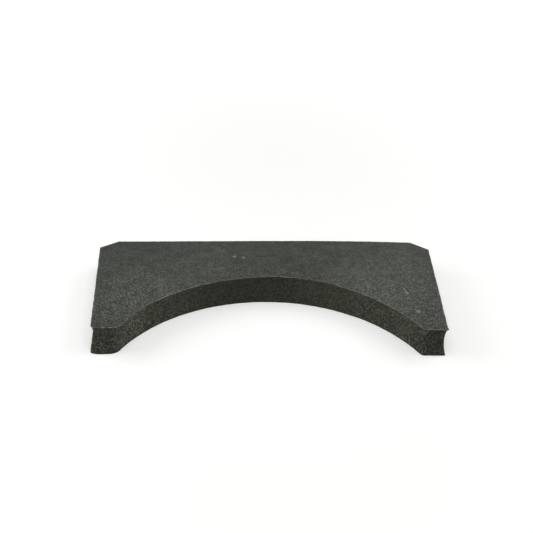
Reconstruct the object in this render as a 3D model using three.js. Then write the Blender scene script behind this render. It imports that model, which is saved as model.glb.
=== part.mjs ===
// Rubber pad that sits under a pump: one piece cut out of flat rubber sheet.
// Millimetres. X runs along the pad, Y from the two feet to the back edge, Z up through the sheet.
// The origin is on the underside, in the middle of the width and of the depth.

import * as THREE from 'three';

// The sheet, and the round cradle cut into its front edge
const sheetThickness = 12.7;
const cradleRadius = 67.7;
const cradleDepth = 35.4;

// The rubber left behind the cradle's deepest point, and the feet left beside its mouth
const webDepth = 28.6;
const leftFootWidth = 10.85;
const rightFootWidth = 9.85;

// The cut-off back corners
const leftCornerWidth = 7.7;
const leftCornerDepth = 5;
const rightCornerWidth = 7.4;
const rightCornerDepth = 5.4;

// The back edge, which was cut by hand and isn't quite straight
const backLeftDrop = 1.85;
const backRightDrop = 0.65;
const backLeftSwell = 0.5;
const backRightSwell = 1.9;

// The soft corners of the feet: the inner ones at the cradle, the toes at the outer ends
const leftInnerLeg = 2.8;
const rightInnerLeg = 1.6;
const leftToeWidth = 3.3;
const leftToeDepth = 1.3;
const rightToeWidth = 1.7;
const rightToeDepth = 0.4;

// The cut faces bow inwards, because thick rubber bulges under the knife and springs back
const rightHollow = 1.1;
const leftHollow = 0.8;
const footHollow = 0.8;
const backHollow = 0.9;
const cradleHollow = 0.9;
const waistBelowTop = 5.4;
const leftWaistBelowTop = 3.5;
const leftLowerFlare = 0.35;
const cradleUndercut = 0.6;

// How tightly a hollow gathers at its waist: higher is narrower
const evenGathering = 1.6;
const tightGathering = 3.7;

// Chords along the curves, and levels up the cut faces
const cradleChords = 48;
const backChords = 12;
const innerCornerChords = 6;
const toeChords = 4;
const levels = 10;

// What follows from the sizes above
const halfMouth = Math.sqrt(cradleRadius ** 2 - (cradleRadius - cradleDepth) ** 2);
const padWidth = leftFootWidth + 2 * halfMouth + rightFootWidth;
const padDepth = cradleDepth + webDepth;
const cradleX = (leftFootWidth - rightFootWidth) / 2;
const cradleY = padDepth / 2 - webDepth - cradleRadius;

// A cut face as a function of the depth below the top face: how far it lies inside its upper lip
function cutFace(hollow, waistDepth, gathering, lowerLipInset) {
  const waist = waistDepth / sheetThickness;
  return (depth) => {
    const share = depth / sheetThickness;
    const above = (share / waist) ** waist;
    const below = ((1 - share) / (1 - waist)) ** (1 - waist);
    return hollow * (above * below) ** gathering + lowerLipInset * share;
  };
}

const rightFace = cutFace(rightHollow, waistBelowTop, evenGathering, 0);
const leftFace = cutFace(leftHollow, leftWaistBelowTop, tightGathering, -leftLowerFlare);
const footFace = cutFace(footHollow, waistBelowTop, evenGathering, 0);
const backFace = cutFace(backHollow, waistBelowTop, evenGathering, 0);
const cradleFace = cutFace(cradleHollow, waistBelowTop, evenGathering, cradleUndercut);

const point = (x, y) => new THREE.Vector2(x, y);

// A foot's two soft corners each keep to their own half of the foot
const withinFoot = (leg, footWidth) => Math.min(leg, footWidth / 2);

// The two ends of a cut-off corner, with the faces beside it and its own moved inwards.
// side is 1 at the right and -1 at the left.
function backCorner(side, cornerWidth, cornerDepth, backY, sideInset, backInset) {
  const length = Math.hypot(cornerWidth, cornerDepth);
  const lowY = backY - cornerDepth + (cornerDepth * sideInset - length * backInset) / cornerWidth;
  const highX = padWidth / 2 - cornerWidth + ((cornerWidth - length) * backInset) / cornerDepth;
  return {
    low: point(side * (padWidth / 2 - sideInset), lowY),
    high: point(side * highX, backY - backInset),
  };
}

// The back edge runs from its right end to its left end as one slow curve
function backEdge(rightEnd, leftEnd) {
  const third = (rightEnd.x - leftEnd.x) / 3;
  return new THREE.CubicBezierCurve(
    rightEnd,
    point(rightEnd.x - third, rightEnd.y + backRightSwell),
    point(leftEnd.x + third, leftEnd.y + backLeftSwell),
    leftEnd,
  );
}

// The cradle's arc between the feet's soft corners, from left to right
function cradleArc(radius, halfAngle, leftLeg, rightLeg) {
  const start = Math.PI / 2 + halfAngle - leftLeg / radius;
  const end = Math.PI / 2 - halfAngle + rightLeg / radius;
  return new THREE.EllipseCurve(cradleX, cradleY, radius, radius, start, end, true);
}

// The pad's outline at a depth below the top face, counter-clockwise from the left foot's outer side.
// Every depth gives the same number of points.
function padOutline(depth) {
  const left = -padWidth / 2 + leftFace(depth);
  const right = padWidth / 2 - rightFace(depth);
  const front = -padDepth / 2 + footFace(depth);
  const rightCorner = backCorner(
    1, rightCornerWidth, rightCornerDepth, padDepth / 2 - backRightDrop, rightFace(depth), backFace(depth),
  );
  const leftCorner = backCorner(
    -1, leftCornerWidth, leftCornerDepth, padDepth / 2 - backLeftDrop, leftFace(depth), backFace(depth),
  );

  const radius = cradleRadius + cradleFace(depth);
  const halfAngle = Math.acos((front - cradleY) / radius);
  const leftInner = cradleX - radius * Math.sin(halfAngle);
  const rightInner = cradleX + radius * Math.sin(halfAngle);
  const leftLeg = withinFoot(leftInnerLeg, leftFootWidth);
  const rightLeg = withinFoot(rightInnerLeg, rightFootWidth);
  const arc = cradleArc(radius, halfAngle, leftLeg, rightLeg);

  const outline = [point(left, front + leftToeDepth)];
  const lineTo = (end) => outline.push(end);
  const follow = (curve, chords) => outline.push(...curve.getPoints(chords).slice(1));
  const roundTo = (corner, end, chords) => {
    follow(new THREE.QuadraticBezierCurve(outline.at(-1), corner, end), chords);
  };

  roundTo(point(left, front), point(left + withinFoot(leftToeWidth, leftFootWidth), front), toeChords);
  lineTo(point(leftInner - leftLeg, front));
  roundTo(point(leftInner, front), arc.getPoint(0), innerCornerChords);
  follow(arc, cradleChords);
  roundTo(point(rightInner, front), point(rightInner + rightLeg, front), innerCornerChords);
  lineTo(point(right - withinFoot(rightToeWidth, rightFootWidth), front));
  roundTo(point(right, front), point(right, front + rightToeDepth), toeChords);
  lineTo(rightCorner.low);
  lineTo(rightCorner.high);
  follow(backEdge(rightCorner.high, leftCorner.high), backChords);
  lineTo(leftCorner.low);
  return outline;
}

// The pad is extruded from its upper outline, then each level of the walls takes its own outline.
// The levels crowd towards the two lips, where the cut faces curve most.
function padGeometry() {
  const upper = padOutline(0);
  const geometry = new THREE.ExtrudeGeometry(new THREE.Shape(upper), {
    depth: sheetThickness,
    steps: levels,
    bevelEnabled: false,
  });
  const key = (x, y) => `${Math.fround(x)} ${Math.fround(y)}`;
  const places = new Map(upper.map((corner, index) => [key(corner.x, corner.y), index]));
  const depths = Array.from({ length: levels + 1 }, (_, level) => (
    (sheetThickness * (1 + Math.cos((Math.PI * level) / levels))) / 2
  ));
  const outlines = depths.map(padOutline);

  const position = geometry.getAttribute('position');
  for (let vertex = 0; vertex < position.count; vertex += 1) {
    const level = Math.round((position.getZ(vertex) / sheetThickness) * levels);
    const place = places.get(key(position.getX(vertex), position.getY(vertex)));
    const corner = outlines[level][place];
    position.setXYZ(vertex, corner.x, corner.y, sheetThickness - depths[level]);
  }
  geometry.computeVertexNormals();
  return geometry;
}

const blackRubber = new THREE.MeshStandardMaterial({
  color: 0x3b3d39,
  roughness: 0.9,
  metalness: 0,
});

const pumpPad = new THREE.Mesh(padGeometry(), blackRubber);
pumpPad.name = 'pump_pad';

const part = new THREE.Group();
part.add(pumpPad);

export default part;
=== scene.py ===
import math

import bmesh
import bpy
from mathutils import Matrix, Vector, geometry, noise


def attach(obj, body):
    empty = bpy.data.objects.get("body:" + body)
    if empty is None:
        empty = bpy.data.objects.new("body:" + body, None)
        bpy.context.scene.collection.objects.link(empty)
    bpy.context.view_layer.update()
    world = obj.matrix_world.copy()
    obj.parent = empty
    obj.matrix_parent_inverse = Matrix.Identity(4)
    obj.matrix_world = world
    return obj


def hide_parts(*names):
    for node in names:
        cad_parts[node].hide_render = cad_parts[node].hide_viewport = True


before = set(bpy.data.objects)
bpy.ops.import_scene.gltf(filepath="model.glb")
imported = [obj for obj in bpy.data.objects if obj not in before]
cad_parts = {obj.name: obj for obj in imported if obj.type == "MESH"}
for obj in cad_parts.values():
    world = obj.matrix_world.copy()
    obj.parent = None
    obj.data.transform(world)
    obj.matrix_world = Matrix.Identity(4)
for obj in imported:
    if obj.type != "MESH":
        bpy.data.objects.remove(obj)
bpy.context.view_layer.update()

mm = 0.001
up = Vector((0, 0, 1))


# Camera: the photograph's own angle, a long lens from a little left of the middle
cameraView = {
    "lookAt": Vector((0.55, 21.3, 6.35)) * mm,
    "distance": 567.1 * mm,
    "azimuth": math.radians(-3.41),      # 0 looks along +Y
    "elevation": math.radians(33.58),
    "roll": math.radians(2.39),
    "lens": 90.27,                       # on a 36 mm wide sensor
}


def addCamera(view):
    across = math.cos(view["elevation"])
    back = Vector((
        math.sin(view["azimuth"]) * across,
        -math.cos(view["azimuth"]) * across,
        math.sin(view["elevation"]),
    ))
    level = (-back).to_track_quat("-Z", "Y").to_matrix()
    data = bpy.data.cameras.new("padCamera")
    data.lens = view["lens"]
    data.clip_start = 0.01
    camera = bpy.data.objects.new("padCamera", data)
    camera.location = view["lookAt"] + back * view["distance"]
    camera.rotation_euler = (level @ Matrix.Rotation(view["roll"], 3, "Z")).to_euler()
    bpy.context.scene.collection.objects.link(camera)
    bpy.context.scene.camera = camera


# The pad: what a user would change about its shape
padShape = {
    "thickness": 12.7 * mm,
    "cradleRadius": 67.7 * mm,
    "cradleDepth": 35.4 * mm,
    "webDepth": 28.6 * mm,               # rubber behind the cradle's deepest point
    "leftFoot": 10.85 * mm,
    "rightFoot": 9.85 * mm,
    "leftCorner": (7.7 * mm, 5.0 * mm),  # width and depth cut off
    "rightCorner": (7.4 * mm, 5.4 * mm),
    "leftDrop": 1.85 * mm,               # the back edge's ends lie nearer the feet than its crown
    "rightDrop": 0.65 * mm,
    "leftSwell": 0.5 * mm,
    "rightSwell": 1.9 * mm,
    "leftInner": 2.8 * mm,               # soft corners between feet and cradle
    "rightInner": 1.6 * mm,
    "leftToe": (3.3 * mm, 1.3 * mm),     # soft outer corners of the feet
    "rightToe": (1.7 * mm, 0.4 * mm),
    "column": 0.55 * mm,                 # spacing of the mesh along the outline
    "rows": 26,                          # and up the cut faces
    "rowCrowding": 0.4,                  # 0 even, 1 crowded towards the lips
    "skinGrid": 4 * mm,                  # spacing across the two flat faces
    "lipRing": 0.4 * mm,
    "lipRound": 0.13 * mm,
    "smoothBelow": math.radians(50),     # sharper edges than this stay sharp
}
cradleRise = padShape["cradleRadius"] - padShape["cradleDepth"]   # from its centre to the feet's fronts
halfMouth = math.sqrt(padShape["cradleRadius"] ** 2 - cradleRise ** 2)
halfWidth = (padShape["leftFoot"] + padShape["rightFoot"]) / 2 + halfMouth
halfDepth = (padShape["cradleDepth"] + padShape["webDepth"]) / 2
cradleCentre = Vector((
    (padShape["leftFoot"] - padShape["rightFoot"]) / 2,
    halfDepth - padShape["webDepth"] - padShape["cradleRadius"],
    0,
))

# How each cut face bows in below its upper lip: depth and height of the waist, how tightly
# it gathers there, and how far the lower lip lies inside the upper one
cutFaces = {
    "left": {"hollow": 1.0 * mm, "waist": 3.8 * mm, "gather": 3.2, "lowerLip": -0.3 * mm},
    "right": {"hollow": 1.1 * mm, "waist": 5.4 * mm, "gather": 1.6, "lowerLip": 0},
    "feet": {"hollow": 0.8 * mm, "waist": 5.4 * mm, "gather": 1.6, "lowerLip": 0},
    "back": {"hollow": 0.9 * mm, "waist": 5.4 * mm, "gather": 1.6, "lowerLip": 0},
    "cradle": {"hollow": 0.9 * mm, "waist": 5.4 * mm, "gather": 1.6, "lowerLip": 0.6 * mm},
}

cutBlend = 1.2 * mm                      # how softly one cut face's bow gives way to the next one's
cradleTwist = -0.36 * mm                 # the cradle's lower lip leans in at the left and out at the right

# Places where the knife strayed: middle, reach, and how far the face stands out there.
# A slip reaches along a cut further than down it.
slipFlatness = 2.5
knifeSlips = (
    (Vector((5, 3.2, 12.7)) * mm, 10.5 * mm, -0.9 * mm),
    (Vector((22.5, -0.5, 12.7)) * mm, 10 * mm, -0.85 * mm),
    (Vector((-50, -19, 12.7)) * mm, 8 * mm, -0.5 * mm),
    (Vector((69.8, -31.8, 12.7)) * mm, 1.3 * mm, 0.33 * mm),
    (Vector((-65, -32, 0)) * mm, 4 * mm, 0.25 * mm),
)

# Unevenness that the knife left: size of the lumps, and how far they stand in or out
cutRelief = {
    "waves": (9 * mm, 0.09 * mm),
    "lumps": (2.4 * mm, 0.05 * mm),
    "grains": (0.9 * mm, 0.04 * mm),
    "frayedLip": (1.5 * mm, 0.08 * mm),
    "frayedDepth": 0.7 * mm,             # how far down from a lip the fraying goes
}


def chain(bm, start, points):            # a run of edges on from a vertex
    ends = [start]
    for place in points:
        ends.append(bm.verts.new(place))
        bm.edges.new(ends[-2:])
    return ends[-1]


def softCorner(start, corner, end, points=8):
    bend = 2 / 3                         # makes the cubic curve a quadratic one
    return geometry.interpolate_bezier(
        start, start.lerp(corner, bend), end.lerp(corner, bend), end, points,
    )[1:]


def evenSteps(start, end, spacing):
    steps = max(1, round((end - start).length / spacing))
    return [start.lerp(end, step / steps) for step in range(1, steps + 1)]


def outlineCorners(shape):
    front = -halfDepth
    leftWide, leftDeep = shape["leftCorner"]
    rightWide, rightDeep = shape["rightCorner"]
    leftBack = halfDepth - shape["leftDrop"]
    rightBack = halfDepth - shape["rightDrop"]
    return {
        "leftMouth": Vector((cradleCentre.x - halfMouth, front, 0)),
        "rightMouth": Vector((cradleCentre.x + halfMouth, front, 0)),
        "rightToe": Vector((halfWidth, front, 0)),
        "rightLow": Vector((halfWidth, rightBack - rightDeep, 0)),
        "rightHigh": Vector((halfWidth - rightWide, rightBack, 0)),
        "leftHigh": Vector((leftWide - halfWidth, leftBack, 0)),
        "leftLow": Vector((-halfWidth, leftBack - leftDeep, 0)),
        "leftToe": Vector((-halfWidth, front, 0)),
    }


def traceOutline(bm, shape):
    at = outlineCorners(shape)
    radius = shape["cradleRadius"]
    leftTurn = shape["leftInner"] / radius
    rightTurn = shape["rightInner"] / radius
    halfAngle = math.asin(halfMouth / radius)
    sweep = 2 * halfAngle - leftTurn - rightTurn

    fromCentre = at["leftMouth"] - cradleCentre
    arcStart = bm.verts.new(cradleCentre + Matrix.Rotation(-leftTurn, 3, "Z") @ fromCentre)
    startPlace = arcStart.co.copy()
    arc = bmesh.ops.spin(
        bm, geom=[arcStart], cent=cradleCentre, axis=-up, dvec=(0, 0, 0), angle=sweep,
        steps=round(sweep * radius / shape["column"]), use_merge=False, use_duplicate=False,
    )
    end = next(item for item in arc["geom_last"] if isinstance(item, bmesh.types.BMVert))

    footEnd = at["rightMouth"] + Vector((shape["rightInner"], 0, 0))
    end = chain(bm, end, softCorner(end.co.copy(), at["rightMouth"], footEnd))
    toeWide, toeDeep = shape["rightToe"]
    toe = at["rightToe"]
    end = chain(bm, end, evenSteps(end.co.copy(), toe - Vector((toeWide, 0, 0)), shape["column"]))
    end = chain(bm, end, softCorner(end.co.copy(), toe, toe + Vector((0, toeDeep, 0))))

    for corner in ("rightLow", "rightHigh"):
        end = chain(bm, end, evenSteps(end.co.copy(), at[corner], shape["column"]))
    third = Vector(((at["rightHigh"].x - at["leftHigh"].x) / 3, 0, 0))
    points = round(3 * third.x / shape["column"])
    end = chain(bm, end, geometry.interpolate_bezier(
        at["rightHigh"], at["rightHigh"] - third + Vector((0, shape["rightSwell"], 0)),
        at["leftHigh"] + third + Vector((0, shape["leftSwell"], 0)), at["leftHigh"], points,
    )[1:])

    toeWide, toeDeep = shape["leftToe"]
    toe = at["leftToe"]
    for corner in (at["leftLow"], toe + Vector((0, toeDeep, 0))):
        end = chain(bm, end, evenSteps(end.co.copy(), corner, shape["column"]))
    end = chain(bm, end, softCorner(end.co.copy(), toe, toe + Vector((toeWide, 0, 0))))
    footEnd = at["leftMouth"] - Vector((shape["leftInner"], 0, 0))
    end = chain(bm, end, evenSteps(end.co.copy(), footEnd, shape["column"]))
    end = chain(bm, end, softCorner(end.co.copy(), at["leftMouth"], startPlace)[:-1])
    bm.edges.new((end, arcStart))


def raiseWalls(bm, shape):               # an open wall round the outline, in rows
    walls = bmesh.ops.extrude_edge_only(bm, edges=bm.edges[:])["geom"]
    lifted = [item for item in walls if isinstance(item, bmesh.types.BMVert)]
    bmesh.ops.translate(bm, verts=lifted, vec=up * shape["thickness"])
    upright = [edge for edge in bm.edges
               if abs(edge.verts[0].co.z - edge.verts[1].co.z) > shape["thickness"] / 2]
    bmesh.ops.subdivide_edges(bm, edges=upright, cuts=shape["rows"] - 1, use_grid_fill=True)
    for vert in bm.verts:
        share = vert.co.z / shape["thickness"]
        crowded = (1 - math.cos(math.pi * share)) / 2
        vert.co.z = shape["thickness"] * (share + (crowded - share) * shape["rowCrowding"])
    bmesh.ops.recalc_face_normals(bm, faces=bm.faces[:])
    bm.normal_update()


def insetAt(face, share):                # how far a cut face lies in, at a share of the way down
    waist = face["waist"] / padShape["thickness"]
    above = (share / waist) ** waist
    below = (max(0, 1 - share) / (1 - waist)) ** (1 - waist)
    return face["hollow"] * (above * below) ** face["gather"] + face["lowerLip"] * share


def nearbyCuts(place):                   # each cut face's distance and outward direction
    fromCentre = Vector((place.x, place.y, 0)) - cradleCentre
    return {
        "left": (place.x + halfWidth, Vector((-1, 0))),
        "right": (halfWidth - place.x, Vector((1, 0))),
        "feet": (place.y + halfDepth, Vector((0, -1))),
        "back": (halfDepth - place.y - padShape["rightDrop"], Vector((0, 1))),
        "cradle": (abs(fromCentre.length - padShape["cradleRadius"]), -fromCentre.xy.normalized()),
    }


def cutMove(place, share):               # where two cuts meet, the corner goes in by both
    pull = Vector((0, 0))
    hold = Matrix(((0.01, 0), (0, 0.01)))    # a little, so that it can be inverted away from the corners
    for name, (gap, outward) in nearbyCuts(place).items():
        weight = math.exp(-max(0, gap) / cutBlend)
        inset = insetAt(cutFaces[name], share)
        if name == "cradle":
            inset += cradleTwist * share * (place.x / halfMouth) ** 3
        pull -= outward * weight * inset
        hold[0] += outward * outward.x * weight
        hold[1] += outward * outward.y * weight
    return (hold.inverted() @ pull).to_3d()


def lumpy(place, relief):
    size, height = cutRelief[relief]
    return noise.noise(place / size) * height


def slipAt(place):
    slip = 0
    for middle, reach, push in knifeSlips:
        offset = place - middle
        offset.z *= slipFlatness
        slip += push * math.exp(-(offset.length / reach) ** 2)
    return slip


def cutWalls(bm, shape):                 # bows the walls in, and leaves them rough
    elsewhere = 40 * mm * up             # so that the fraying doesn't follow the lumps
    moves = []
    for vert in bm.verts:
        lipDistance = min(vert.co.z, shape["thickness"] - vert.co.z)
        frayed = math.exp(-lipDistance / cutRelief["frayedDepth"])
        rough = lumpy(vert.co, "waves") + lumpy(vert.co, "lumps") + lumpy(vert.co, "grains")
        rough += lumpy(vert.co + elsewhere, "frayedLip") * frayed
        rough += slipAt(vert.co)
        moves.append(cutMove(vert.co, 1 - vert.co.z / shape["thickness"]) + vert.normal * rough)
    for vert, move in zip(bm.verts, moves):
        vert.co += move


def closeFaces(bm, shape):               # the sheet's two flat faces, with a ring along each lip
    for height in (0, shape["thickness"]):
        loop = [edge for edge in bm.edges if edge.is_boundary
                and all(abs(vert.co.z - height) < 0.01 * mm for vert in edge.verts)]
        skin = bmesh.ops.contextual_create(bm, geom=loop)["faces"]
        for face in skin:
            face.material_index = 1
        bmesh.ops.inset_region(bm, faces=skin, thickness=shape["lipRing"], use_even_offset=False)
        gridSkin(bm, skin[0], shape["skinGrid"])
    bmesh.ops.recalc_face_normals(bm, faces=bm.faces[:])


def gridSkin(bm, skin, spacing):
    faces = [skin]
    for axis, reach in ((Vector((1, 0, 0)), halfWidth), (Vector((0, 1, 0)), halfDepth)):
        for step in range(-int(reach / spacing), int(reach / spacing) + 1):
            geom = faces + list({edge for face in faces for edge in face.edges})
            geom += list({vert for face in faces for vert in face.verts})
            cut = bmesh.ops.bisect_plane(
                bm, geom=geom, dist=0.001 * mm, plane_co=axis * (step * spacing), plane_no=axis,
            )
            faces = [item for item in cut["geom"] if isinstance(item, bmesh.types.BMFace)]


def roundLips(bm, shape):
    rim = bm.verts.layers.float.new("rim")
    lips = [edge for edge in bm.edges    # where a cut face meets the skin
            if len({face.material_index for face in edge.link_faces}) == 2]
    rounded = bmesh.ops.bevel(
        bm, geom=lips, offset=shape["lipRound"], offset_type="OFFSET", segments=2, profile=0.5,
        affect="EDGES", material=-1,
    )
    for vert in rounded["verts"]:
        vert[rim] = 1


def makePad(shape):
    bm = bmesh.new()
    traceOutline(bm, shape)
    raiseWalls(bm, shape)
    cutWalls(bm, shape)
    closeFaces(bm, shape)
    roundLips(bm, shape)
    bmesh.ops.recalc_face_normals(bm, faces=bm.faces[:])
    for face in bm.faces:
        face.smooth = True
    mesh = bpy.data.meshes.new("rubberPad")
    bm.to_mesh(mesh)
    bm.free()
    mesh.set_sharp_from_angle(angle=shape["smoothBelow"])
    pad = bpy.data.objects.new("rubberPad", mesh)
    bpy.context.scene.collection.objects.link(pad)
    return pad


# Shader maths as plain expressions
class Wire:
    def __init__(self, tree, socket):
        self.tree = tree
        self.socket = socket

    def node(self, kind, settings=None, values=None, output=0):
        made = self.tree.nodes.new(kind)
        for name, value in (settings or {}).items():
            setattr(made, name, value)
        for name, value in (values or {}).items():
            if isinstance(value, Wire):
                self.tree.links.new(value.socket, made.inputs[name])
            else:
                made.inputs[name].default_value = value
        return Wire(self.tree, made.outputs[output] if made.outputs else None)

    def maths(self, operation, first, second=0.0):
        return self.node("ShaderNodeMath", {"operation": operation}, {0: first, 1: second})

    def __add__(self, other):
        return self.maths("ADD", self, other)

    def __radd__(self, other):
        return self.maths("ADD", other, self)

    def __sub__(self, other):
        return self.maths("SUBTRACT", self, other)

    def __rsub__(self, other):
        return self.maths("SUBTRACT", other, self)

    def __mul__(self, other):
        return self.maths("MULTIPLY", self, other)

    def __rmul__(self, other):
        return self.maths("MULTIPLY", other, self)

    def ramp(self, low, high):           # 0 below low, 1 above high, smooth between
        return self.node(
            "ShaderNodeMapRange", {"interpolation_type": "SMOOTHSTEP"},
            {"Value": self, "From Min": low, "From Max": high},
        )

    def noise(self, size):
        return self.node("ShaderNodeTexNoise", {}, {
            "Vector": self, "Scale": 1 / size, "Detail": 2.0, "Roughness": 0.5,
        })

    def layer(self, look):               # a noise round 0, of this size and strength
        size, strength = look
        return strength * (self.noise(size) - 0.5)

    def crumbs(self, look):              # cells of this size, each lighter or darker by chance
        size, strength = look
        cell = self.node(
            "ShaderNodeTexVoronoi", {"feature": "F1"}, {"Vector": self, "Scale": 1 / size}, output="Color",
        )
        lot = self.node("ShaderNodeSeparateColor", {}, {"Color": cell})
        return strength * (lot - 0.5)

    def split(self):                     # x, y and z
        parts = self.node("ShaderNodeSeparateXYZ", {}, {"Vector": self})
        return [Wire(self.tree, socket) for socket in parts.socket.node.outputs]

    def far(self, place):
        return self.node(
            "ShaderNodeVectorMath", {"operation": "DISTANCE"}, {0: self, 1: place}, output="Value",
        )

    def near(self, place, reach):        # 1 at the place, falling to 0 at its reach
        return 1 - self.far(place).ramp(0, reach)

    def along(self, direction, start):   # distance from the start in this direction
        offset = self.node("ShaderNodeVectorMath", {"operation": "SUBTRACT"}, {0: self, 1: start})
        return offset.node(
            "ShaderNodeVectorMath", {"operation": "DOT_PRODUCT"}, {0: offset, 1: direction}, output="Value",
        )

    def scratch(self, start, end, width):    # a dark groove, and the raised lip on its left
        line = end - start
        ahead = line.normalized()
        side = ahead.cross(up)
        run = self.along(ahead, start)
        across = self.along(side, start)
        inside = run.ramp(0, width) * (1 - run.ramp(line.length - width, line.length))
        groove = (1 - across.maths("ABSOLUTE", across).ramp(0, width)) * inside
        ridge = across - width
        return groove, (1 - ridge.maths("ABSOLUTE", ridge).ramp(0, width)) * inside

    def specks(self, spacing, radius):   # round dots, one to a cell, of random brightness
        settings = {"feature": "F1"}
        values = {"Vector": self, "Scale": 1 / spacing}
        distance = self.node("ShaderNodeTexVoronoi", settings, values)
        cell = self.node("ShaderNodeTexVoronoi", settings, values, output="Color")
        lot = self.node("ShaderNodeSeparateColor", {}, {"Color": cell})
        return (1 - distance.ramp(radius / spacing * 0.4, radius / spacing)), lot

    def mixColour(self, first, second):  # by this factor; 6 and 7 are a Mix node's two colours
        return self.node(
            "ShaderNodeMix", {"data_type": "RGBA"}, {0: self, 6: first, 7: second}, output=2,
        )

    def tint(self, colour, tone):        # this colour, lighter or darker by the tone
        return self.node("ShaderNodeVectorMath", {"operation": "SCALE"}, {0: colour, "Scale": tone})


def newMaterial(name):
    material = bpy.data.materials.new(name)
    material.use_nodes = True
    tree = material.node_tree
    tree.nodes.clear()
    return material, tree


def finishMaterial(tree, colour, roughness, height, finish):
    rubber = tree.nodes.new("ShaderNodeBsdfPrincipled")
    rubber.inputs["Specular IOR Level"].default_value = finish["specular"]
    bump = height.node("ShaderNodeBump", {}, {"Height": height, "Distance": finish["grainHeight"]})
    for name, wire in (("Base Color", colour), ("Roughness", roughness), ("Normal", bump)):
        tree.links.new(wire.socket, rubber.inputs[name])
    output = tree.nodes.new("ShaderNodeOutputMaterial")
    tree.links.new(rubber.outputs["BSDF"], output.inputs["Surface"])


# The sheet's own skin: dust, a fine grain and a few light specks, with painted light on its lighter places
# and a painted highlight along its lips
skinFinish = {
    "colour": (0.046, 0.0493, 0.0409),
    "dustAndPaintedLight": (                           # middle and reach of each place of painted light and dust, and how much lighter
        (Vector((-24, 22, 12.7)) * mm, 24 * mm, 0.26),
        (Vector((-46, -4, 12.7)) * mm, 42 * mm, 0.34),
        (Vector((-60, -8, 12.7)) * mm, 14 * mm, 0.15),
        (Vector((-58, 26, 12.7)) * mm, 26 * mm, -0.1),
        (Vector((-12, 6, 12.7)) * mm, 26 * mm, 0.17),
        (Vector((52, 7, 12.7)) * mm, 53 * mm, 0.54),
        (Vector((40, -6, 12.7)) * mm, 24 * mm, 0.15),
        (Vector((-65, -31, 12.7)) * mm, 10 * mm, -0.18),
        (Vector((-64, -24, 12.7)) * mm, 12 * mm, -0.1),
        (Vector((60, -26, 12.7)) * mm, 16 * mm, -0.13),
    ),
    "flecks": (                          # middle, reach and strength of single light marks
        (Vector((-13.2, 19.1, 12.7)) * mm, 1.1 * mm, 1.6),
        (Vector((-9.4, 18.4, 12.7)) * mm, 1.0 * mm, 1.3),
        (Vector((59.5, -19.7, 12.7)) * mm, 1.3 * mm, 1.8),
        (Vector((56.5, -6.8, 12.7)) * mm, 1.1 * mm, 1.8),
    ),
    "scratch": (Vector((56.0, -2.5, 12.7)) * mm, Vector((57.4, -7.5, 12.7)) * mm, 0.6 * mm),
    "lipHighlightSpots": (                        # places where the painted highlight along the upper lip is stronger, where the rounded edge catches the light
        (Vector((-42, -9, 12.7)) * mm, 16 * mm, 0.9),
        (Vector((-65, -32, 12.7)) * mm, 8 * mm, 0.8),
        (Vector((66, -32, 12.7)) * mm, 9 * mm, 1.2),
    ),
    "speck": (0.2, 0.205, 0.185, 1),
    # colour of the painted highlight along the lips
    "lip": (0.28, 0.28, 0.24, 1),
    "clouds": (17 * mm, 0.5),            # size and strength of each layer of tone
    "patches": (3.5 * mm, 1.2),
    "grain": (0.95 * mm, 2.3),
    "crumbs": (0.42 * mm, 4.1),
    "grainRise": (-32 * mm, 20 * mm, 0.36),  # full strength at the feet, down to this at the back
    "darkest": 0.35,                     # the grain never makes the tone darker than this
    "speckSpacing": 1.3 * mm,
    "speckRadius": 0.42 * mm,
    "speckChance": 0.72,                 # higher leaves fewer specks
    "lipHighlightBits": (1.1 * mm, 0.38, 0.6),    # size of the bits of painted highlight, and where the noise starts and ends them
    # larger patches of the painted lip highlight, and the least share of it
    "lipHighlightClouds": (14 * mm, 0.42, 0.6),
    "leastLipHighlight": 0.5,
    "grainHeight": 0.05 * mm,
    "speckHeight": 0.5,                  # beside a grain height of 1
    "grooveDepth": 2,
    "grooveShade": 0.85,
    "roughness": (0.85, 0.12),           # even part, and how far the grain changes it
    "specular": 0.3,
}


def skinMaterial(finish):
    material, tree = newMaterial("sheetSkin")
    start = Wire(tree, None)
    place = start.node("ShaderNodeTexCoord", output="Object")
    depth = place.split()[1]
    front, back, least = finish["grainRise"]
    strength = 1 - (1 - least) * depth.ramp(front, back)
    grain = place.layer(finish["grain"]) + place.crumbs(finish["crumbs"])
    tone = 1 + place.layer(finish["clouds"]) + place.layer(finish["patches"]) + strength * grain
    tone = start.maths("MAXIMUM", tone, finish["darkest"])
    # painted light and dust: lighter places on the top face, and a few darker ones
    for centre, reach, amount in finish["dustAndPaintedLight"]:
        tone = tone * (1 + amount * place.near(centre, reach))
    groove, alongside = place.scratch(*finish["scratch"])
    colour = start.tint(finish["colour"], tone * (1 - finish["grooveShade"] * groove))

    dots, lot = place.specks(finish["speckSpacing"], finish["speckRadius"])
    light = dots * lot.ramp(finish["speckChance"], 1.0) * strength + alongside
    for centre, reach, amount in finish["flecks"]:
        light = light + amount * place.near(centre, reach)
    light = start.maths("MINIMUM", light, 1.0)
    colour = light.mixColour(colour, finish["speck"])
    # painted highlight along the rounded lips, where the edge catches the light
    rim = start.node("ShaderNodeAttribute", {"attribute_name": "rim"}, output="Fac")
    size, low, high = finish["lipHighlightBits"]
    highlit = rim * place.noise(size).ramp(low, high)
    size, low, high = finish["lipHighlightClouds"]
    highlit = highlit * (finish["leastLipHighlight"] + place.noise(size).ramp(low, high))
    for centre, reach, amount in finish["lipHighlightSpots"]:
        highlit = highlit * (1 + amount * place.near(centre, reach))
    colour = start.maths("MINIMUM", highlit, 1.0).mixColour(colour, finish["lip"])
    height = grain + finish["speckHeight"] * light - finish["grooveDepth"] * groove
    even, uneven = finish["roughness"]
    finishMaterial(tree, colour, even + uneven * grain, height, finish)
    return material
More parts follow.
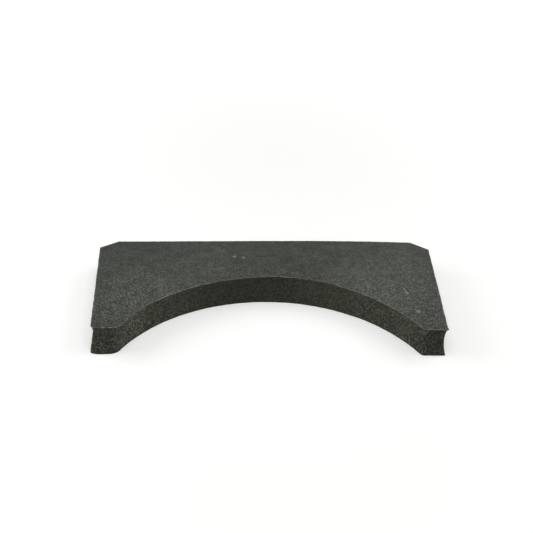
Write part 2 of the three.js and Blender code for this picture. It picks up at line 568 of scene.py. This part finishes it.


# The cut faces: bare rubber, darker and browner, and crumbled where the knife dragged, with painted light
# on their lighter places and a painted highlight along their lips
cutFinish = {
    "colour": (0.0365, 0.0375, 0.028),
    "dustAndPaintedLight": (                           # painted light, and some dust; these run from the lower lip to the upper one: see flatten
        (Vector((-46, -16, 0.6)) * mm, 27 * mm, 0.5),
        (Vector((-52, -24, 0.6)) * mm, 13 * mm, 0.6),
        (Vector((-31, -4, 0.6)) * mm, 18 * mm, 0.18),
        (Vector((28, -2, 0.6)) * mm, 28 * mm, 0.42),
        (Vector((46, -14, 0.6)) * mm, 25 * mm, 0.45),
        (Vector((53, -24, 0.6)) * mm, 12 * mm, 0.4),
        (Vector((60.2, -31.8, 0.6)) * mm, 2.2 * mm, 0.7),
        (Vector((-59.6, -31.4, 0.6)) * mm, 2.2 * mm, 0.35),
        (Vector((66, -32, 0.6)) * mm, 6 * mm, -0.27),
        (Vector((-65, -32, 0.6)) * mm, 9 * mm, 0.08),
        (Vector((-70.3, -31.6, 0.2)) * mm, 1.8 * mm, 0.9),
    ),
    "speck": (0.13, 0.13, 0.11, 1),
    # colour of the painted highlight along the lips
    "lip": (0.16, 0.16, 0.135, 1),
    "patches": (4 * mm, 0.6),
    "grain": (1.1 * mm, 0.8),
    "crumbs": (0.37 * mm, 4.4),
    "grainRise": (-32 * mm, 4 * mm, 0.32),
    "darkest": 0.3,
    "lowShade": 0.72,                    # darker just above the floor,
    "lowReach": (0.05 * mm, 0.7 * mm),   # between these heights
    "drag": (1, 1, 0.75),                # crumbs are drawn out up the cut
    "flatten": (1, 1, 0.1),              # heights count this much in the reach of the places of painted light and dust
    "speckSpacing": 1.7 * mm,
    "speckRadius": 0.4 * mm,
    "speckChance": 0.7,
    # size of the bits of painted highlight along the lips, and where the noise starts and ends them
    "lipHighlightBits": (1.6 * mm, 0.42, 0.62),
    "grainHeight": 0.12 * mm,
    "speckHeight": 0.5,
    "roughness": (0.9, 0.08),
    "specular": 0.25,
}


def cutMaterial(finish):
    material, tree = newMaterial("cutRubber")
    start = Wire(tree, None)
    place = start.node("ShaderNodeTexCoord", output="Object")
    drawn = start.node("ShaderNodeVectorMath", {"operation": "MULTIPLY"}, {0: place, 1: finish["drag"]})
    across, depth, rise = place.split()
    front, back, least = finish["grainRise"]
    strength = 1 - (1 - least) * depth.ramp(front, back)
    crumbs = strength * (drawn.layer(finish["grain"]) + drawn.crumbs(finish["crumbs"]))
    tone = start.maths("MAXIMUM", 1 + place.layer(finish["patches"]) + crumbs, finish["darkest"])
    flat = start.node("ShaderNodeVectorMath", {"operation": "MULTIPLY"}, {0: place, 1: finish["flatten"]})
    # painted light, and some dust: lighter places on the cut faces, and a few darker ones
    for centre, reach, amount in finish["dustAndPaintedLight"]:
        tone = tone * (1 + amount * flat.near(centre, reach))
    tone = tone * (finish["lowShade"] + (1 - finish["lowShade"]) * rise.ramp(*finish["lowReach"]))
    colour = start.tint(finish["colour"], tone)

    dots, lot = drawn.specks(finish["speckSpacing"], finish["speckRadius"])
    light = dots * lot.ramp(finish["speckChance"], 1.0)
    colour = light.mixColour(colour, finish["speck"])
    # painted highlight along the rounded lips
    rim = start.node("ShaderNodeAttribute", {"attribute_name": "rim"}, output="Fac")
    size, low, high = finish["lipHighlightBits"]
    highlit = rim * place.noise(size).ramp(low, high)
    colour = highlit.mixColour(colour, finish["lip"])
    even, uneven = finish["roughness"]
    height = crumbs + finish["speckHeight"] * light
    finishMaterial(tree, colour, even + uneven * crumbs, height, finish)
    return material


# Floor and lights
floorLook = {
    "size": 6.0,
    "drop": 0.02 * mm,                   # below the pad's underside
    "colour": (0.853, 0.85, 0.838, 1),
    "glow": 0.3,                         # added for the camera, so that open floor is white
    "farGlow": 0.4,                      # more of it away from the pad
    "farReach": (0.09, 0.4),
    "horizonGlow": 0.12,                 # and more again out of the lamps' reach
    "horizonReach": (0.45, 1.2),
    "mouthGlow": 0.05,                   # and a little between the feet
    "mouthReach": ((2 * mm, -50 * mm, 0), 60 * mm),
}
lamps = {
    "leftSoftbox": {"place": Vector((-0.3, 0.03, 0.18)), "size": 0.25, "power": 0.45},
    "rightSoftbox": {"place": Vector((0.25, 0.03, 0.25)), "size": 0.25, "power": 0.32},
    "topSoftbox": {"place": Vector((0.0, -0.25, 0.8)), "size": 0.6, "power": 2.5},
}
skyLight = 0.24


def seenDirectly(start):                 # camera, mirror and see-through rays
    path = {name: start.node("ShaderNodeLightPath", output=name)
            for name in ("Is Camera Ray", "Is Glossy Ray", "Is Transmission Ray")}
    total = path["Is Camera Ray"] + path["Is Glossy Ray"] + path["Is Transmission Ray"]
    return start.maths("MINIMUM", total, 1.0)


def addFloor(look):
    bm = bmesh.new()
    bmesh.ops.create_grid(bm, x_segments=2, y_segments=2, size=look["size"] / 2)
    bmesh.ops.translate(bm, verts=bm.verts[:], vec=-look["drop"] * up)
    mesh = bpy.data.meshes.new("floor")
    bm.to_mesh(mesh)
    bm.free()
    floor = bpy.data.objects.new("floor", mesh)
    bpy.context.scene.collection.objects.link(floor)
    material, tree = newMaterial("paleFloor")
    start = Wire(tree, None)
    seen = seenDirectly(start)
    cloth = start.node("ShaderNodeBsdfDiffuse", {}, {"Color": look["colour"]})
    place = start.node("ShaderNodeTexCoord", output="Object")
    away = place.far((0, 0, 0))
    strength = look["glow"] + look["farGlow"] * away.ramp(*look["farReach"])
    strength = strength + look["horizonGlow"] * away.ramp(*look["horizonReach"])
    strength = strength + look["mouthGlow"] * place.near(*look["mouthReach"])
    glow = start.node("ShaderNodeEmission", {}, {"Strength": seen * strength})
    both = start.node("ShaderNodeAddShader", {}, {0: cloth, 1: glow})
    start.node("ShaderNodeOutputMaterial", {}, {"Surface": both})
    mesh.materials.append(material)


def addLamps(lamps, target):
    for name, lamp in lamps.items():
        data = bpy.data.lights.new(name, "AREA")
        data.size = lamp["size"]
        data.energy = lamp["power"]
        light = bpy.data.objects.new(name, data)
        light.location = lamp["place"]
        light.visible_camera = False
        light.rotation_euler = (target - lamp["place"]).to_track_quat("-Z", "Y").to_euler()
        bpy.context.scene.collection.objects.link(light)


def addSky(strength):
    world = bpy.data.worlds.new("paleRoom")
    world.use_nodes = True
    tree = world.node_tree
    tree.nodes.clear()
    start = Wire(tree, None)
    seen = seenDirectly(start)
    sky = start.node("ShaderNodeBackground", {}, {
        "Color": (1, 1, 1, 1), "Strength": strength + seen * (1 - strength),
    })
    start.node("ShaderNodeOutputWorld", {}, {"Surface": sky})
    bpy.context.scene.world = world


addCamera(cameraView)
print("camera placed")
rubberPad = makePad(padShape)
rubberPad.data.materials.append(cutMaterial(cutFinish))
rubberPad.data.materials.append(skinMaterial(skinFinish))
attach(rubberPad, "root")
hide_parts("pump_pad")
print("pad made:", len(rubberPad.data.polygons), "faces")
addFloor(floorLook)
addLamps(lamps, Vector((0, 0, padShape["thickness"])))
addSky(skyLight)
bpy.context.scene.view_settings.view_transform = "Standard"
print("floor and lights placed")
